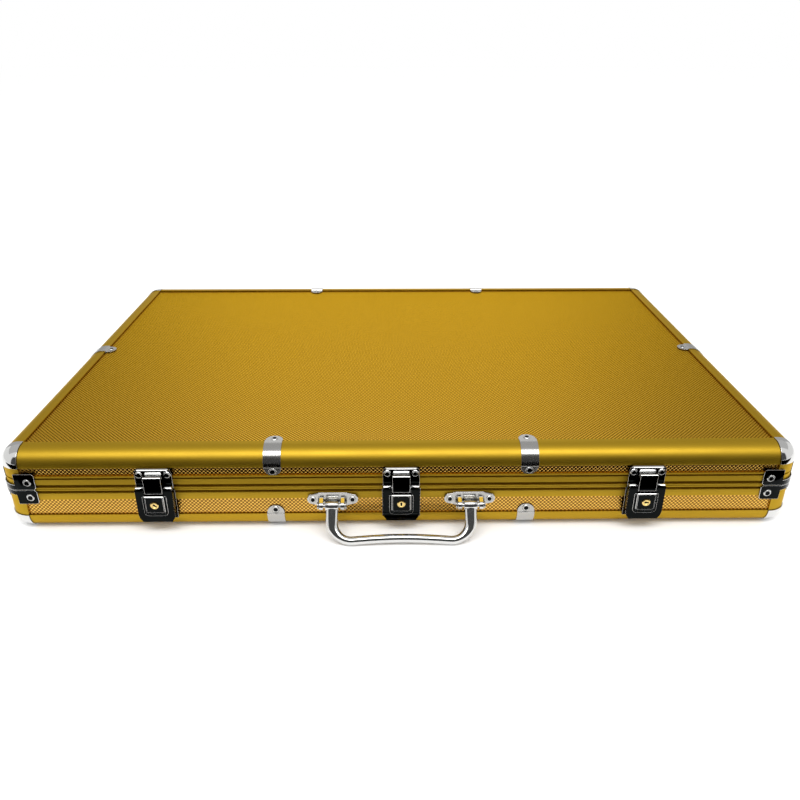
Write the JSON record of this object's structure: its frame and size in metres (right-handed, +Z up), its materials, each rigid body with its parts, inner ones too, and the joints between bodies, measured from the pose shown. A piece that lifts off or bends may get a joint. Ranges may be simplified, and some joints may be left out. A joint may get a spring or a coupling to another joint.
{
  "type": "poker chip case",
  "caption": "Flat hinged gold case with chrome latches, rounded corners, a swinging handle and trays inside for poker chips and cards.",
  "frame": {"origin": "centre of the closed case in plan, at the height it stands on", "axes": "+X to the right along the length, -Y towards the front with latches and handle, +Z up"},
  "size_m": [0.5726, 0.4154, 0.066],
  "materials": {
    "base_bottom_board": "satin",
    "base_walls": "satin",
    "base_frame": "satin",
    "base_rail_front": "satin",
    "base_rail_right": "satin",
    "base_rail_rear": "satin",
    "base_rail_left": "satin",
    "base_corner_front_right": "polished",
    "base_bracket_front_right": "polished",
    "base_corner_rear_right": "polished",
    "base_bracket_rear_right": "polished",
    "base_corner_rear_left": "polished",
    "base_bracket_rear_left": "polished",
    "base_corner_front_left": "polished",
    "base_bracket_front_left": "polished",
    "lid_top_board": "satin",
    "lid_walls": "satin",
    "lid_frame": "satin",
    "lid_rail_front": "satin",
    "lid_rail_right": "satin",
    "lid_rail_rear": "satin",
    "lid_rail_left": "satin",
    "lid_corner_front_right": "polished",
    "lid_bracket_front_right": "polished",
    "lid_corner_rear_right": "polished",
    "lid_bracket_rear_right": "polished",
    "lid_corner_rear_left": "polished",
    "lid_bracket_rear_left": "polished",
    "lid_corner_front_left": "polished",
    "lid_bracket_front_left": "polished",
    "latch_plate_left": "polished",
    "latch_keeper_left": "polished",
    "latch_lever_left": "polished",
    "latch_hook_left": "polished",
    "latch_lock_left": "satin",
    "latch_plate_centre": "polished",
    "latch_keeper_centre": "polished",
    "latch_lever_centre": "polished",
    "latch_hook_centre": "polished",
    "latch_lock_centre": "satin",
    "latch_plate_right": "polished",
    "latch_keeper_right": "polished",
    "latch_lever_right": "polished",
    "latch_hook_right": "polished",
    "latch_lock_right": "satin",
    "handle_bracket_left": "polished",
    "handle_pin_left": "satin",
    "hinge_base_leaf_left": "polished",
    "hinge_lid_leaf_left": "polished",
    "hinge_pin_left": "satin",
    "chip_tray_left": "matte",
    "handle_bracket_right": "polished",
    "handle_pin_right": "satin",
    "hinge_base_leaf_right": "polished",
    "hinge_lid_leaf_right": "polished",
    "hinge_pin_right": "satin",
    "chip_tray_right": "matte",
    "centre_tray": "matte",
    "lid_pad": "matte",
    "handle": "polished"
  },
  "bodies": {
    "base": {"base_bottom_board": "base_bottom_board", "base_walls": "base_walls", "base_frame": "base_frame", "base_rail_front": "base_rail_front", "base_rail_right": "base_rail_right", "base_rail_rear": "base_rail_rear", "base_rail_left": "base_rail_left", "base_corner_front_right": "base_corner_front_right", "base_bracket_front_right": "base_bracket_front_right", "base_corner_rear_right": "base_corner_rear_right", "base_bracket_rear_right": "base_bracket_rear_right", "base_corner_rear_left": "base_corner_rear_left", "base_bracket_rear_left": "base_bracket_rear_left", "base_corner_front_left": "base_corner_front_left", "base_bracket_front_left": "base_bracket_front_left", "latch_plate_left": "latch_plate_left", "latch_plate_centre": "latch_plate_centre", "latch_plate_right": "latch_plate_right", "handle_bracket_left": "handle_bracket_left", "handle_pin_left": "handle_pin_left", "hinge_base_leaf_left": "hinge_base_leaf_left", "hinge_pin_left": "hinge_pin_left", "chip_tray_left": "chip_tray_left", "handle_bracket_right": "handle_bracket_right", "handle_pin_right": "handle_pin_right", "hinge_base_leaf_right": "hinge_base_leaf_right", "hinge_pin_right": "hinge_pin_right", "chip_tray_right": "chip_tray_right", "centre_tray": "centre_tray"},
    "lid": {"lid_top_board": "lid_top_board", "lid_walls": "lid_walls", "lid_frame": "lid_frame", "lid_rail_front": "lid_rail_front", "lid_rail_right": "lid_rail_right", "lid_rail_rear": "lid_rail_rear", "lid_rail_left": "lid_rail_left", "lid_corner_front_right": "lid_corner_front_right", "lid_bracket_front_right": "lid_bracket_front_right", "lid_corner_rear_right": "lid_corner_rear_right", "lid_bracket_rear_right": "lid_bracket_rear_right", "lid_corner_rear_left": "lid_corner_rear_left", "lid_bracket_rear_left": "lid_bracket_rear_left", "lid_corner_front_left": "lid_corner_front_left", "lid_bracket_front_left": "lid_bracket_front_left", "latch_keeper_left": "latch_keeper_left", "latch_keeper_centre": "latch_keeper_centre", "latch_keeper_right": "latch_keeper_right", "hinge_lid_leaf_left": "hinge_lid_leaf_left", "hinge_lid_leaf_right": "hinge_lid_leaf_right", "lid_pad": "lid_pad"},
    "handle": {"handle": "handle"},
    "lever_left": {"latch_lever_left": "latch_lever_left"},
    "lever_centre": {"latch_lever_centre": "latch_lever_centre"},
    "lever_right": {"latch_lever_right": "latch_lever_right"},
    "hook_left": {"latch_hook_left": "latch_hook_left"},
    "hook_centre": {"latch_hook_centre": "latch_hook_centre"},
    "hook_right": {"latch_hook_right": "latch_hook_right"},
    "lock_left": {"latch_lock_left": "latch_lock_left"},
    "lock_centre": {"latch_lock_centre": "latch_lock_centre"},
    "lock_right": {"latch_lock_right": "latch_lock_right"}
  },
  "joints": [
    {"name": "lid_hinge", "type": "hinge", "parent": "base", "child": "lid", "pos_m": [0, 0.1952, 0.0353], "axis": [-1, 0, 0], "range_deg": [0, 95]},
    {"name": "handle_hinge", "type": "hinge", "parent": "base", "child": "handle", "pos_m": [0, -0.1977, 0.0239], "axis": [1, 0, 0], "range_deg": [-133, 35]},
    {"name": "lever_left_hinge", "type": "hinge", "parent": "base", "child": "lever_left", "pos_m": [-0.175, -0.1954, 0.0373], "axis": [-1, 0, 0], "range_deg": [0, 90]},
    {"name": "hook_left_hinge", "type": "hinge", "parent": "lever_left", "child": "hook_left", "pos_m": [-0.175, -0.1963, 0.0352], "axis": [-1, 0, 0], "range_deg": [-90, 0]},
    {"name": "lock_left_turn", "type": "hinge", "parent": "lever_left", "child": "lock_left", "pos_m": [-0.175, -0.1996, 0.0262], "axis": [0, 1, 0], "range_deg": [0, 90]},
    {"name": "lever_centre_hinge", "type": "hinge", "parent": "base", "child": "lever_centre", "pos_m": [0, -0.1954, 0.0373], "axis": [-1, 0, 0], "range_deg": [0, 90]},
    {"name": "hook_centre_hinge", "type": "hinge", "parent": "lever_centre", "child": "hook_centre", "pos_m": [0, -0.1963, 0.0352], "axis": [-1, 0, 0], "range_deg": [-90, 0]},
    {"name": "lock_centre_turn", "type": "hinge", "parent": "lever_centre", "child": "lock_centre", "pos_m": [0, -0.1996, 0.0262], "axis": [0, 1, 0], "range_deg": [0, 90]},
    {"name": "lever_right_hinge", "type": "hinge", "parent": "base", "child": "lever_right", "pos_m": [0.175, -0.1954, 0.0373], "axis": [-1, 0, 0], "range_deg": [0, 90]},
    {"name": "hook_right_hinge", "type": "hinge", "parent": "lever_right", "child": "hook_right", "pos_m": [0.175, -0.1963, 0.0352], "axis": [-1, 0, 0], "range_deg": [-90, 0]},
    {"name": "lock_right_turn", "type": "hinge", "parent": "lever_right", "child": "lock_right", "pos_m": [0.175, -0.1996, 0.0262], "axis": [0, 1, 0], "range_deg": [0, 90]}
  ],
  "couplings": [
    {"joint": "hook_left_hinge", "follows": "lever_left_hinge", "ratio": -1},
    {"joint": "hook_centre_hinge", "follows": "lever_centre_hinge", "ratio": -1},
    {"joint": "hook_right_hinge", "follows": "lever_right_hinge", "ratio": -1}
  ]
}
